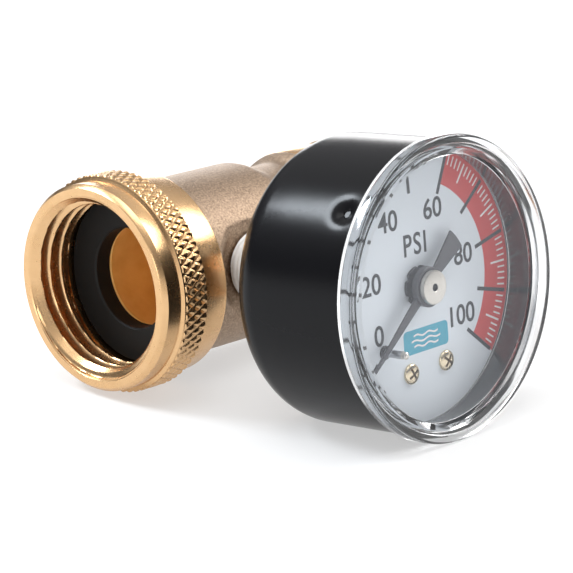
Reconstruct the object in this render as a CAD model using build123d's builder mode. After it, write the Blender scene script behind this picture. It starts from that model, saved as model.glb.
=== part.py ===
from build123d import *
import os
from math import atan2, cos, degrees, hypot, pi, radians, sin

# Water pressure regulator with a pressure gauge. Millimetres.
# The flow axis is X, from the inlet nut to the outlet thread. The gauge stands on the -Y side of the
# body and its dial faces -Y, with +Z at the top of the dial. The origin is on the flow axis at the
# first full turn of the inlet thread, so the nut's mouth lies a little before it.

# --- gaps between faces ---
SEATED = 0.02
SHAFT_FIT = 0.05
RUNNING_FIT = 0.08

# --- hose nut ---
MOUTH_X = -1.5
MOUTH_R = 13.7
THREAD_MINOR_R = 12.2
LEAD_IN = 1.5
THREAD_END = 7.2
NUT_FRONT_R = 15.5
NUT_KNURL_R = 16.35
NUT_REAR_R = 15.2
KNURL_START = 3.3
KNURL_END = 8.0
NUT_END = 13.0
NUT_EDGE = 0.35
WASHER_RECESS_R = 13.0
WASHER_START = 7.9
WASHER_END = 11.0
WASHER_OUTER_R = 12.7
WASHER_HOLE_R = 7.6
WASHER_EDGE = 0.25
WASHER_PLAY = 0.25

# --- swivel fit between nut and body ---
SPIGOT_R = 11.9
SNAP_CENTRE = 12.1
SNAP_WIRE_R = 0.45
SNAP_RING_R = 11.94
SNAP_GROOVE_HALF = 0.525
SNAP_PLAY = 0.11
SNAP_FLOOR_PLAY = 0.04
SNAP_OPENING_DEG = 12.0

# --- body casting, distances measured from the nut's mouth ---
BODY_SHOULDER = 13.3
BODY_R = 13.5
BODY_BARREL_END = 30.5
NECK_START = 35.2
NECK_R = 11.85
NECK_END = 39.6
COLLAR_STEP_R = 12.6
COLLAR_START = 43.4
COLLAR_R = 13.2
COLLAR_END = 50.6
THREAD_RELIEF_R = 12.3
OUTLET_THREAD_START = 51.4
OUTLET_THREAD_END = 59.4
OUTLET_THREAD_R = 13.4
BODY_END = 61.8
PILOT_R = 12.1
PILOT_EDGE = 0.5
INLET_BORE_R = 7.7
WEB_START = 28.0
WEB_END = 33.5
WEB_BORE_R = 4.75
CYLINDER_R = 8.4
CYLINDER_END = 46.0
OUTLET_BORE_R = 10.6
SENSING_R = 0.6
SENSING_Y = -9.9
VENT_R = 0.8
VENT_AT = 37.5

# --- piston and seat ---
SEAT_START = 21.6
SEAT_RING_R = 7.65
SEAT_RING_INNER_R = 6.6
SEAT_HUB_R = 4.2
SPOKES = 3
SPOKE_WIDTH = 1.6
SPOKE_LENGTH = 2.2
SEAT_LIP = 0.6
SEAT_DISC_R = 3.3
SEAT_DISC_START = 23.9
SEAT_DISC_END = 25.5
PISTON_LIFT = 1.15
PISTON_STEM_R = 4.7
PISTON_BORE_R = 2.8
NOSE_LIP = 0.25
NOSE_LENGTH = 1.2
RING_SIDE_PLAY = 0.1
RING_SQUEEZE = 0.01
HEAD_START = 40.5
HEAD_END = 45.0
HEAD_R = 8.32
STEM_RING_AT = 31.0
STEM_RING_WIRE_R = 0.55
HEAD_RING_AT = 42.75
HEAD_RING_WIRE_R = 0.7
SPRING_WIRE_R = 0.7
SPRING_R = 6.6
SPRING_TURNS = 3
RETAINER_START = 45.05
RETAINER_END = 50.0
RETAINER_BORE_R = 5.0
RETAINER_NOSE_R = 8.2
RETAINER_STEP_R = 8.9
RETAINER_FLANGE_R = 10.55
RETAINER_FLANGE = 3.0
RETAINER_NOTCHES = 6
RETAINER_NOTCH_R = 0.6
RETAINER_NOTCH_AT = 9.8

# --- gauge, depths measured from the flow axis towards the dial's front ---
GAUGE_X = MOUTH_X + 22.5
PORT_FACE = 11.5
PORT_FLOOR = 8.6
PORT_R = 4.6
SPOT_FACE_R = 8.0
STEM_R = 4.8
STEM_END = 20.0
TAPE_R = 5.5
TAPE_START = 11.7
TAPE_END = 19.6
SOCKET_DRILL_R = 1.2
SQUARE = 11.1
SQUARE_CORNER_R = 0.6
SQUARE_END = 25.7
CASE_BACK = 26.0
CASE_FRONT = 48.15
CASE_R = 21.05
CASE_WALL = 0.8
CASE_BACK_FILLET = 5.4
CASE_SCREWS = ((0.0, 9.3), (0.0, -10.5))
CASE_SCREW_R = 0.95
CASE_SCREW_END = 29.5
CASE_SCREW_HEAD = 1.3
CASE_SCREW_HEAD_R = 1.9
DRIVER_SLOT = 0.6
BLOCK_START = CASE_BACK + CASE_WALL
BLOCK_END = 34.6
BLOCK_BASE = ((0.5, -4.5), (15.0, 19.0))
BLOCK_TOP = ((0.0, 8.0), (6.0, 7.0))
CROSS_DRILL_DEPTH = 31.0
CROSS_DRILL_R = 0.9
TUBE_PAD = ((1.25, -15.2), (5.5, 4.4))
TUBE_PAD_START = 28.6
LENS_R = 21.75
LENS_FRONT = 50.5
LENS_EDGE = 0.3
LENS_WINDOW_BACK = 48.6
LENS_SKIRT_START = 44.3
LENS_SKIRT_R = 20.1
LENS_SKIRT_WALL = 0.8
DIMPLE_DEPTH = 45.6
DIMPLE_R = 0.6
NUB_R = 0.5
NUB_ROOT = 0.3
NUB_HEIGHT = 0.2
DIMPLE_ANGLES = (139.3, 259.3, 19.3)

TUBE_R = 15.5
TUBE_THICK = 2.0
TUBE_WIDE = 5.0
TUBE_SKIN = 0.3
TUBE_START_DEG = -96.2
TUBE_END_DEG = -369.0
TIP = (15.0, -4.0)
TIP_START_DEG = -9.3
TIP_ARC_DEG = 10.7
TIP_PIN_R = 0.4
TIP_SOLDER = 1.2
TIP_OVERLAP = 0.6

PLATE = 0.8
BACK_PLATE_START = BLOCK_END
FRONT_PLATE_START = 40.2
PLATE_CORNERS = ((-7.0, -7.0), (11.0, -7.0), (11.0, 8.0), (-7.0, 8.0))
PILLARS = ((-5.0, 5.5), (-5.0, -5.5), (8.0, 6.0))
PLATE_CORNER_R = 1.5
PLATE_SCREWS = ((-5.6, 0.0), (5.6, -5.0))
PLATE_SCREW_START = 32.5
PLATE_SCREW_HEAD = 0.58
PLATE_SCREW_HEAD_R = 0.9
PILLAR_R = 1.1
SCREW_SHANK_R = 0.5
SCREW_HEAD = 0.78
SCREW_HEAD_R = 1.0
SHAFT_R = 0.5
END_PLAY = 0.1

SECTOR_PIVOT = (8.49, -0.18)
SECTOR_SHAFT_R = 0.4
SECTOR_HUB_R = 1.2
SECTOR_TAIL_WIDTH = 1.5
SECTOR_TEETH = 10
SECTOR_START = 37.1
SECTOR_THICK = 0.8
SECTOR_TOOTH_PITCH_DEG = 5.0
SECTOR_ROOT_R = 7.42
SECTOR_TIP_R = 7.79
SECTOR_TOOTH_ROOT = 0.36
SECTOR_TOOTH_TIP = 0.16
PINION_TEETH = 8
PINION_ROOT_R = 0.62
PINION_TIP_R = 1.0
PINION_TOOTH_ROOT = 0.34
PINION_TOOTH_TIP = 0.14
PINION_MARGIN = 0.2
COLLET_R = 0.9
COLLET_START = 35.7
COLLET_END = 36.6
HAIRSPRING_START = 35.8
HAIRSPRING_HEIGHT = 0.6
HAIRSPRING_HALF_TURNS = 10
HAIRSPRING_INNER_R = 0.98
HAIRSPRING_PITCH = 0.6
HAIRSPRING_RIBBON = 0.12
TAIL_PIN = (10.7, 1.53)
TAIL_PIN_R = 0.35
LINK_START = 38.4
LINK_THICK = 0.5
LINK_WIDTH = 1.8
LINK_SLOT = 0.4
LINK_PLAY = 0.12
PIN_END = 39.3

DIAL_FRONT = 43.7
DIAL_THICK = 0.6
DIAL_R = 20.1
DIAL_SCREWS = ((-2.6, -12.3), (5.0, -12.0))
DIAL_SCREW_R = 0.8
DIAL_SCREW_START = 38.7
DIAL_SCREW_HEAD = 0.7
DIAL_SCREW_HEAD_R = 1.5
DIAL_SCREW_EDGE = 0.2
DIAL_POST_R = 1.4
DIAL_HOLE_R = 1.9
BUSHING_R = 2.9
BUSHING_HEIGHT = 0.6
BUSHING_BACK = 42.7
STOP_PIN_R = 0.72
STOP_PIN_AT = 11.2
STOP_PIN_CLOCK_DEG = -135.9
STOP_PIN_START = 42.5
STOP_PIN_END = 48.0
POINTER_CLOCK_DEG = -129.5
POINTER_BACK = 45.3
POINTER_THICK = 0.3
POINTER_TIP_AT = 15.7
POINTER_TIP_HALF = 0.25
POINTER_ROOT_HALF = 0.9
POINTER_TAIL_AT = 9.0
POINTER_TAIL_HALF = 1.8
POINTER_BOSS_R = 2.9
POINTER_BOSS_START = 45.1
POINTER_BOSS_END = 46.2
CAP_R = 2.45
CAP_FRONT = 47.05
CAP_WALL = 0.55
CAP_EDGE = 0.2


def along(distance):
    """X of a point at a distance from the nut's mouth."""
    return MOUTH_X + distance


def turned(*profile, mode=Mode.ADD):
    """Ring about the flow axis from the (distance, radius) corners of its section."""
    with BuildSketch(Plane.XY) as section:
        with BuildLine():
            Polyline(*[(along(distance), radius) for distance, radius in profile], close=True)
        make_face()
    revolve(section.sketch, axis=Axis.X, mode=mode)


def wire_ring(distance, ring_r, wire_r, arc=360.0):
    """Round-section ring about the flow axis."""
    with BuildSketch(Plane.XY) as section:
        with Locations((along(distance), ring_r)):
            Circle(wire_r)
    revolve(section.sketch, axis=Axis.X, revolution_arc=arc)


def dial_plane(depth):
    """Plane across the gauge, its local x to the right and y to the top of the dial."""
    return Plane(origin=(GAUGE_X, -depth, 0), x_dir=(1, 0, 0), z_dir=(0, -1, 0))


def radial_plane(angle):
    """Half plane of the gauge at an angle, its local coordinates radius and depth."""
    a = radians(angle)
    return Plane(origin=(GAUGE_X, 0, 0), x_dir=(cos(a), 0, sin(a)), z_dir=(sin(a), 0, -cos(a)))


GAUGE_AXIS = Axis((GAUGE_X, 0, 0), (0, 1, 0))


def posts(places, start, end, radius, mode=Mode.ADD):
    """Round posts, or holes, at places on the dial between two depths."""
    with BuildSketch(dial_plane(start)) as section:
        with Locations(*places):
            Circle(radius)
    extrude(section.sketch, amount=end - start, mode=mode)


def clock(radius, angle):
    """Place on the dial at a radius and an angle clockwise from the top."""
    return (radius * sin(radians(angle)), radius * cos(radians(angle)))


def toothed(count, first_deg, pitch_deg, root_r, tip_r, root_width, tip_width, centre):
    """Corners of a row of straight-sided teeth about a centre."""
    corners = []
    for i in range(count):
        middle = radians(first_deg + i * pitch_deg)
        for radius, half in ((root_r, -root_width / 2), (tip_r, -tip_width / 2),
                             (tip_r, tip_width / 2), (root_r, root_width / 2)):
            angle = middle + atan2(half, radius)
            corners.append((centre[0] + radius * cos(angle), centre[1] + radius * sin(angle)))
    return corners


def finish(piece, label):
    """Label a piece and write it to its own STEP file."""
    piece.part.label = label
    export_step(piece.part, f"parts/{label}.step")


os.makedirs("parts", exist_ok=True)

# --- regulator ---

with BuildPart() as swivel_nut:
    land_r = SPIGOT_R + RUNNING_FIT
    groove_r = SNAP_RING_R + SNAP_WIRE_R + SNAP_PLAY
    recess_end = WASHER_END + WASHER_PLAY
    turned(
        (0, MOUTH_R), (0, NUT_FRONT_R - NUT_EDGE), (NUT_EDGE, NUT_FRONT_R),
        (KNURL_START, NUT_FRONT_R), (KNURL_START, NUT_KNURL_R - NUT_EDGE),
        (KNURL_START + NUT_EDGE, NUT_KNURL_R), (KNURL_END - NUT_EDGE, NUT_KNURL_R),
        (KNURL_END, NUT_KNURL_R - NUT_EDGE), (KNURL_END, NUT_REAR_R),
        (NUT_END - NUT_EDGE, NUT_REAR_R), (NUT_END, NUT_REAR_R - NUT_EDGE), (NUT_END, land_r),
        (SNAP_CENTRE + SNAP_GROOVE_HALF, land_r), (SNAP_CENTRE + SNAP_GROOVE_HALF, groove_r),
        (SNAP_CENTRE - SNAP_GROOVE_HALF, groove_r), (SNAP_CENTRE - SNAP_GROOVE_HALF, land_r),
        (recess_end, land_r), (recess_end, WASHER_RECESS_R), (THREAD_END, WASHER_RECESS_R),
        (THREAD_END, THREAD_MINOR_R), (LEAD_IN, THREAD_MINOR_R),
    )
finish(swivel_nut, "swivel_nut")

with BuildPart() as swivel_snap_ring:
    wire_ring(SNAP_CENTRE, SNAP_RING_R, SNAP_WIRE_R, 360 - SNAP_OPENING_DEG)
finish(swivel_snap_ring, "swivel_snap_ring")

with BuildPart() as inlet_washer:
    turned(
        (WASHER_START, WASHER_HOLE_R + WASHER_EDGE), (WASHER_START, WASHER_OUTER_R - WASHER_EDGE),
        (WASHER_START + WASHER_EDGE, WASHER_OUTER_R), (WASHER_END - WASHER_EDGE, WASHER_OUTER_R),
        (WASHER_END, WASHER_OUTER_R - WASHER_EDGE), (WASHER_END, WASHER_HOLE_R + WASHER_EDGE),
        (WASHER_END - WASHER_EDGE, WASHER_HOLE_R), (WASHER_START + WASHER_EDGE, WASHER_HOLE_R),
    )
finish(inlet_washer, "inlet_washer")

with BuildPart() as body:
    groove_floor_r = SNAP_RING_R - SNAP_WIRE_R - SNAP_FLOOR_PLAY
    with BuildSketch(Plane.XY):
        with BuildLine():
            Polyline(
                (along(WASHER_END), INLET_BORE_R), (along(WASHER_END), SPIGOT_R),
                (along(SNAP_CENTRE - SNAP_GROOVE_HALF), SPIGOT_R),
                (along(SNAP_CENTRE - SNAP_GROOVE_HALF), groove_floor_r),
                (along(SNAP_CENTRE + SNAP_GROOVE_HALF), groove_floor_r),
                (along(SNAP_CENTRE + SNAP_GROOVE_HALF), SPIGOT_R),
                (along(BODY_SHOULDER), SPIGOT_R), (along(BODY_SHOULDER), BODY_R),
                (along(BODY_BARREL_END), BODY_R),
            )
            Spline((along(BODY_BARREL_END), BODY_R), (along(NECK_START), NECK_R),
                   tangents=[(1, 0), (1, 0)])
            Line((along(NECK_START), NECK_R), (along(NECK_END), NECK_R))
            Spline((along(NECK_END), NECK_R), (along(COLLAR_START - 2), COLLAR_STEP_R),
                   (along(COLLAR_START), COLLAR_R), tangents=[(1, 0), (1, 0)])
            Polyline(
                (along(COLLAR_START), COLLAR_R), (along(COLLAR_END), COLLAR_R),
                (along(COLLAR_END), THREAD_RELIEF_R),
                (along(OUTLET_THREAD_START), THREAD_RELIEF_R),
                (along(OUTLET_THREAD_START), OUTLET_THREAD_R),
                (along(OUTLET_THREAD_END), OUTLET_THREAD_R), (along(OUTLET_THREAD_END), PILOT_R),
                (along(BODY_END - PILOT_EDGE), PILOT_R),
                (along(BODY_END), PILOT_R - PILOT_EDGE), (along(BODY_END), OUTLET_BORE_R),
                (along(CYLINDER_END), OUTLET_BORE_R), (along(CYLINDER_END), CYLINDER_R),
                (along(WEB_END), CYLINDER_R), (along(WEB_END), WEB_BORE_R),
                (along(WEB_START), WEB_BORE_R), (along(WEB_START), INLET_BORE_R),
                (along(WASHER_END), INLET_BORE_R),
            )
        make_face()
    revolve(axis=Axis.X)
    posts(((0, 0),), PORT_FACE, BODY_R + 1, SPOT_FACE_R, mode=Mode.SUBTRACT)
    posts(((0, 0),), PORT_FLOOR, PORT_FACE, PORT_R, mode=Mode.SUBTRACT)
    with BuildSketch(Plane.YZ.offset(GAUGE_X)):
        with Locations((SENSING_Y, 0)):
            Circle(SENSING_R)
    extrude(amount=along(CYLINDER_END) - GAUGE_X, mode=Mode.SUBTRACT)
    with BuildSketch(Plane(origin=(along(VENT_AT), CYLINDER_R - 1, 0), z_dir=(0, 1, 0))):
        Circle(VENT_R)
    extrude(amount=BODY_R, mode=Mode.SUBTRACT)
finish(body, "body")

with BuildPart() as seat_carrier:
    ring_end = WEB_START - SEATED
    hub_end = SEAT_DISC_END - SEAT_LIP
    pocket_r = SEAT_DISC_R + SEATED
    turned((SEAT_START, SEAT_RING_INNER_R), (SEAT_START, SEAT_RING_R), (ring_end, SEAT_RING_R),
           (ring_end, SEAT_RING_INNER_R))
    turned((SEAT_START, 0), (SEAT_START, SEAT_HUB_R), (hub_end, SEAT_HUB_R), (hub_end, pocket_r),
           (SEAT_DISC_START, pocket_r), (SEAT_DISC_START, 0))
    with BuildSketch(Plane.YZ.offset(along(SEAT_START))):
        with PolarLocations((SEAT_HUB_R + SEAT_RING_INNER_R) / 2, SPOKES):
            Rectangle(SEAT_RING_INNER_R - SEAT_HUB_R + 1, SPOKE_WIDTH)
    extrude(amount=SPOKE_LENGTH)
finish(seat_carrier, "seat_carrier")

with BuildPart() as seat_disc:
    disc_start = SEAT_DISC_START + SEATED
    turned((disc_start, 0), (disc_start, SEAT_DISC_R), (SEAT_DISC_END, SEAT_DISC_R), (SEAT_DISC_END, 0))
finish(seat_disc, "seat_disc")

with BuildPart() as piston:
    nose = SEAT_DISC_END + PISTON_LIFT + SHAFT_FIT
    lip_r = PISTON_BORE_R + NOSE_LIP
    stem_groove_r = PISTON_STEM_R - 2 * STEM_RING_WIRE_R
    head_groove_r = HEAD_R - 2 * HEAD_RING_WIRE_R
    stem_half = STEM_RING_WIRE_R + RING_SIDE_PLAY
    head_half = HEAD_RING_WIRE_R + RING_SIDE_PLAY
    turned(
        (nose, PISTON_BORE_R), (nose, lip_r), (nose + NOSE_LENGTH, PISTON_STEM_R),
        (STEM_RING_AT - stem_half, PISTON_STEM_R), (STEM_RING_AT - stem_half, stem_groove_r),
        (STEM_RING_AT + stem_half, stem_groove_r), (STEM_RING_AT + stem_half, PISTON_STEM_R),
        (HEAD_START, PISTON_STEM_R), (HEAD_START, HEAD_R), (HEAD_RING_AT - head_half, HEAD_R),
        (HEAD_RING_AT - head_half, head_groove_r), (HEAD_RING_AT + head_half, head_groove_r),
        (HEAD_RING_AT + head_half, HEAD_R), (HEAD_END, HEAD_R), (HEAD_END, PISTON_BORE_R),
    )
finish(piston, "piston")

with BuildPart() as stem_oring:
    wire_ring(STEM_RING_AT, PISTON_STEM_R - STEM_RING_WIRE_R, STEM_RING_WIRE_R - RING_SQUEEZE)
finish(stem_oring, "stem_oring")

with BuildPart() as head_oring:
    wire_ring(HEAD_RING_AT, HEAD_R - HEAD_RING_WIRE_R, HEAD_RING_WIRE_R - RING_SQUEEZE)
finish(head_oring, "head_oring")

with BuildPart() as regulator_spring:
    spring_start = WEB_END + SPRING_WIRE_R + SHAFT_FIT
    spring_height = HEAD_START - WEB_END - 2 * (SPRING_WIRE_R + SHAFT_FIT)
    with BuildLine() as coil:
        Helix(pitch=spring_height / SPRING_TURNS, height=spring_height, radius=SPRING_R,
              center=(along(spring_start), 0, 0), direction=(1, 0, 0))
    with BuildSketch(Plane(origin=coil.line @ 0, z_dir=coil.line % 0)):
        Circle(SPRING_WIRE_R)
    sweep(is_frenet=True)
finish(regulator_spring, "regulator_spring")

with BuildPart() as outlet_retainer:
    shoulder = CYLINDER_END + SEATED
    flange_start = RETAINER_END - RETAINER_FLANGE
    turned(
        (RETAINER_START, RETAINER_BORE_R + 1), (RETAINER_START, RETAINER_NOSE_R),
        (shoulder, RETAINER_NOSE_R), (shoulder, RETAINER_STEP_R), (flange_start, RETAINER_STEP_R),
        (flange_start, RETAINER_FLANGE_R), (RETAINER_END, RETAINER_FLANGE_R),
        (RETAINER_END, RETAINER_BORE_R), (RETAINER_START + 1, RETAINER_BORE_R),
    )
    with BuildSketch(Plane.YZ.offset(along(flange_start))):
        with PolarLocations(RETAINER_NOTCH_AT, RETAINER_NOTCHES):
            Circle(RETAINER_NOTCH_R)
    extrude(amount=RETAINER_FLANGE, mode=Mode.SUBTRACT)
finish(outlet_retainer, "outlet_retainer")

# --- gauge: socket, case and lens ---

with BuildPart() as gauge_socket:
    posts(((0, 0),), PORT_FLOOR + END_PLAY, PORT_FACE + SEATED, PORT_R - SHAFT_FIT)
    posts(((0, 0),), PORT_FACE + SEATED, STEM_END, STEM_R)
    with BuildSketch(dial_plane(STEM_END)):
        RectangleRounded(SQUARE, SQUARE, SQUARE_CORNER_R)
    extrude(amount=SQUARE_END - STEM_END)
    posts(((0, 0),), SQUARE_END, BLOCK_START + END_PLAY, STEM_R)
    with BuildSketch(dial_plane(BLOCK_START + SEATED)):
        for place, size in (BLOCK_BASE, BLOCK_TOP):
            with Locations(place):
                Rectangle(*size)
        Circle(TUBE_R - TUBE_THICK / 2 - 0.3, mode=Mode.INTERSECT)
    extrude(amount=BLOCK_END - BLOCK_START - SEATED)
    with BuildSketch(dial_plane(TUBE_PAD_START)):
        with Locations(TUBE_PAD[0]):
            Rectangle(*TUBE_PAD[1])
    extrude(amount=BLOCK_END - TUBE_PAD_START)
    posts(((0, 0),), PORT_FLOOR, CROSS_DRILL_DEPTH, SOCKET_DRILL_R, mode=Mode.SUBTRACT)
    with BuildSketch(Plane(origin=(GAUGE_X, -CROSS_DRILL_DEPTH, 0), z_dir=(0, 0, -1))):
        Circle(CROSS_DRILL_R)
    extrude(amount=TUBE_R, mode=Mode.SUBTRACT)
    posts(CASE_SCREWS, BLOCK_START, CASE_SCREW_END + END_PLAY, CASE_SCREW_R + SHAFT_FIT,
          mode=Mode.SUBTRACT)
    posts(PLATE_SCREWS, PLATE_SCREW_START - END_PLAY, BLOCK_END, SCREW_SHANK_R + SHAFT_FIT,
          mode=Mode.SUBTRACT)
finish(gauge_socket, "gauge_socket")

with BuildPart() as thread_tape:
    with BuildSketch(dial_plane(TAPE_START)):
        Circle(TAPE_R)
        Circle(STEM_R + SEATED / 2, mode=Mode.SUBTRACT)
    extrude(amount=TAPE_END - TAPE_START)
finish(thread_tape, "thread_tape")

with BuildPart() as gauge_case:
    posts(((0, 0),), CASE_BACK, CASE_FRONT, CASE_R)
    fillet(gauge_case.edges().group_by(Axis.Y)[-1], CASE_BACK_FILLET)
    offset(amount=-CASE_WALL, openings=gauge_case.faces().sort_by(Axis.Y)[0])
    posts(((0, 0),), CASE_BACK - 1, CASE_BACK + 1, STEM_R + END_PLAY, mode=Mode.SUBTRACT)
    posts(CASE_SCREWS, CASE_BACK - 1, CASE_BACK + 1, CASE_SCREW_R + END_PLAY, mode=Mode.SUBTRACT)
    for dimple_angle in DIMPLE_ANGLES:
        a = radians(dimple_angle)
        with BuildSketch(Plane(origin=(GAUGE_X, -DIMPLE_DEPTH, 0), z_dir=(cos(a), 0, sin(a)))):
            Circle(DIMPLE_R)
        extrude(amount=CASE_R + 1, mode=Mode.SUBTRACT)
finish(gauge_case, "gauge_case")

with BuildPart() as case_screws:
    head_start = CASE_BACK - CASE_SCREW_HEAD
    posts(CASE_SCREWS, head_start, CASE_BACK - SEATED, CASE_SCREW_HEAD_R)
    posts(CASE_SCREWS, CASE_BACK - SEATED, CASE_SCREW_END, CASE_SCREW_R)
    with BuildSketch(dial_plane(head_start)):
        with Locations(*CASE_SCREWS):
            Rectangle(2 * CASE_SCREW_HEAD_R + 1, DRIVER_SLOT)
    extrude(amount=DRIVER_SLOT, mode=Mode.SUBTRACT)
finish(case_screws, "case_screws")

with BuildPart() as lens:
    posts(((0, 0),), CASE_FRONT + SEATED, LENS_FRONT, LENS_R)
    chamfer(lens.edges().group_by(Axis.Y)[0], LENS_EDGE)
    posts(((0, 0),), LENS_SKIRT_START, CASE_FRONT + END_PLAY, LENS_SKIRT_R)
    posts(((0, 0),), LENS_SKIRT_START, LENS_WINDOW_BACK, LENS_SKIRT_R - LENS_SKIRT_WALL,
          mode=Mode.SUBTRACT)
    for dimple_angle in DIMPLE_ANGLES:
        a = radians(dimple_angle)
        nub_r = LENS_SKIRT_R - NUB_ROOT
        nub_start = (GAUGE_X + nub_r * cos(a), -DIMPLE_DEPTH, nub_r * sin(a))
        with BuildSketch(Plane(origin=nub_start, z_dir=(cos(a), 0, sin(a)))):
            Circle(NUB_R)
        extrude(amount=CASE_R - LENS_SKIRT_R + NUB_HEIGHT)
finish(lens, "lens")

# --- gauge: tube, link and movement ---

with BuildPart() as bourdon_tube:
    with BuildSketch(radial_plane(TUBE_START_DEG)):
        with Locations((TUBE_R, CROSS_DRILL_DEPTH)):
            RectangleRounded(TUBE_THICK, TUBE_WIDE, TUBE_THICK * 0.45)
            RectangleRounded(TUBE_THICK - 2 * TUBE_SKIN, TUBE_WIDE - 2 * TUBE_SKIN,
                             TUBE_THICK * 0.3, mode=Mode.SUBTRACT)
    revolve(axis=GAUGE_AXIS, revolution_arc=TUBE_START_DEG - TUBE_END_DEG)
finish(bourdon_tube, "bourdon_tube")

with BuildPart() as tube_tip:
    with BuildSketch(radial_plane(TIP_START_DEG)):
        with Locations((TUBE_R, CROSS_DRILL_DEPTH)):
            Rectangle(TUBE_THICK + TIP_SOLDER, TUBE_WIDE + TIP_OVERLAP)
    revolve(axis=GAUGE_AXIS, revolution_arc=TIP_ARC_DEG)
    posts((TIP,), CROSS_DRILL_DEPTH, PIN_END, TIP_PIN_R)
finish(tube_tip, "tube_tip")

with BuildPart() as link:
    link_length = hypot(TAIL_PIN[0] - TIP[0], TAIL_PIN[1] - TIP[1])
    link_angle = degrees(atan2(TAIL_PIN[1] - TIP[1], TAIL_PIN[0] - TIP[0]))
    link_middle = ((TAIL_PIN[0] + TIP[0]) / 2, (TAIL_PIN[1] + TIP[1]) / 2)
    with BuildSketch(dial_plane(LINK_START)):
        with Locations(Location((*link_middle, 0), (0, 0, link_angle))):
            SlotCenterToCenter(link_length, LINK_WIDTH)
        with Locations(TIP):
            Circle(TIP_PIN_R + SHAFT_FIT, mode=Mode.SUBTRACT)
        with Locations(Location((*TAIL_PIN, 0), (0, 0, link_angle))):
            SlotCenterToCenter(LINK_SLOT, 2 * (TAIL_PIN_R + LINK_PLAY), mode=Mode.SUBTRACT)
    extrude(amount=LINK_THICK)
finish(link, "link")

with BuildPart() as sector_gear:
    mesh_deg = degrees(atan2(-SECTOR_PIVOT[1], -SECTOR_PIVOT[0]))
    first_tooth = mesh_deg % 360 - 7.5 * SECTOR_TOOTH_PITCH_DEG
    teeth = toothed(SECTOR_TEETH, first_tooth, SECTOR_TOOTH_PITCH_DEG, SECTOR_ROOT_R, SECTOR_TIP_R,
                    SECTOR_TOOTH_ROOT, SECTOR_TOOTH_TIP, SECTOR_PIVOT)
    tail_length = hypot(TAIL_PIN[0] - SECTOR_PIVOT[0], TAIL_PIN[1] - SECTOR_PIVOT[1])
    tail_angle = degrees(atan2(TAIL_PIN[1] - SECTOR_PIVOT[1], TAIL_PIN[0] - SECTOR_PIVOT[0]))
    tail_middle = ((TAIL_PIN[0] + SECTOR_PIVOT[0]) / 2, (TAIL_PIN[1] + SECTOR_PIVOT[1]) / 2)
    with BuildSketch(dial_plane(SECTOR_START)):
        with BuildLine():
            Polyline(SECTOR_PIVOT, *teeth, close=True)
        make_face()
        with Locations(SECTOR_PIVOT):
            Circle(SECTOR_HUB_R)
        with Locations(Location((*tail_middle, 0), (0, 0, tail_angle))):
            SlotCenterToCenter(tail_length, SECTOR_TAIL_WIDTH)
    extrude(amount=SECTOR_THICK)
    posts((SECTOR_PIVOT,), BACK_PLATE_START + END_PLAY, FRONT_PLATE_START + PLATE - END_PLAY,
          SECTOR_SHAFT_R)
    posts((TAIL_PIN,), SECTOR_START, PIN_END, TAIL_PIN_R)
finish(sector_gear, "sector_gear")

with BuildPart() as pinion_shaft:
    posts(((0, 0),), BACK_PLATE_START + END_PLAY, CAP_FRONT - CAP_WALL - SHAFT_FIT, SHAFT_R)
    posts(((0, 0),), COLLET_START, COLLET_END, COLLET_R)
    with BuildSketch(dial_plane(SECTOR_START - PINION_MARGIN)):
        first_pinion_tooth = degrees(atan2(SECTOR_PIVOT[1], SECTOR_PIVOT[0]))
        with BuildLine():
            Polyline(*toothed(PINION_TEETH, first_pinion_tooth, 360 / PINION_TEETH, PINION_ROOT_R,
                              PINION_TIP_R, PINION_TOOTH_ROOT, PINION_TOOTH_TIP, (0, 0)), close=True)
        make_face()
    extrude(amount=SECTOR_THICK + 2 * PINION_MARGIN)
finish(pinion_shaft, "pinion_shaft")

with BuildPart() as hairspring:
    with BuildSketch(dial_plane(HAIRSPRING_START)):
        for half_turn in range(HAIRSPRING_HALF_TURNS):
            ribbon_r = HAIRSPRING_INNER_R + half_turn * HAIRSPRING_PITCH / 2
            offset_u = (half_turn % 2) * HAIRSPRING_PITCH / 2
            side = 180 * (half_turn % 2)
            with BuildLine():
                inner = CenterArc((offset_u, 0), ribbon_r, side, 180)
                outer = CenterArc((offset_u, 0), ribbon_r + HAIRSPRING_RIBBON, side, 180)
                Line(inner @ 0, outer @ 0)
                Line(inner @ 1, outer @ 1)
            make_face()
    extrude(amount=HAIRSPRING_HEIGHT)
finish(hairspring, "hairspring")


def movement_plate(start):
    """Plate of the movement with its bearing and screw holes."""
    with BuildSketch(dial_plane(start)) as outline:
        with BuildLine():
            Polyline(*PLATE_CORNERS, close=True)
        make_face()
        fillet(outline.vertices(), PLATE_CORNER_R)
        Circle(SHAFT_R + SHAFT_FIT, mode=Mode.SUBTRACT)
        with Locations(SECTOR_PIVOT):
            Circle(SECTOR_SHAFT_R + SHAFT_FIT, mode=Mode.SUBTRACT)
        with Locations(*PILLARS):
            Circle(SCREW_SHANK_R + SHAFT_FIT, mode=Mode.SUBTRACT)
    extrude(outline.sketch, amount=PLATE)


with BuildPart() as movement_back_plate:
    movement_plate(BACK_PLATE_START + SEATED / 2)
    posts(PLATE_SCREWS, BACK_PLATE_START, BACK_PLATE_START + PLATE + END_PLAY,
          SCREW_SHANK_R + SHAFT_FIT, mode=Mode.SUBTRACT)
finish(movement_back_plate, "movement_back_plate")

with BuildPart() as movement_front_plate:
    movement_plate(FRONT_PLATE_START + SEATED / 2)
finish(movement_front_plate, "movement_front_plate")

with BuildPart() as plate_pillars:
    posts(PILLARS, BACK_PLATE_START + PLATE + SEATED, FRONT_PLATE_START, PILLAR_R)
    posts(PILLARS, BACK_PLATE_START, FRONT_PLATE_START + PLATE, SCREW_SHANK_R + SHAFT_FIT,
          mode=Mode.SUBTRACT)
finish(plate_pillars, "plate_pillars")

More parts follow.
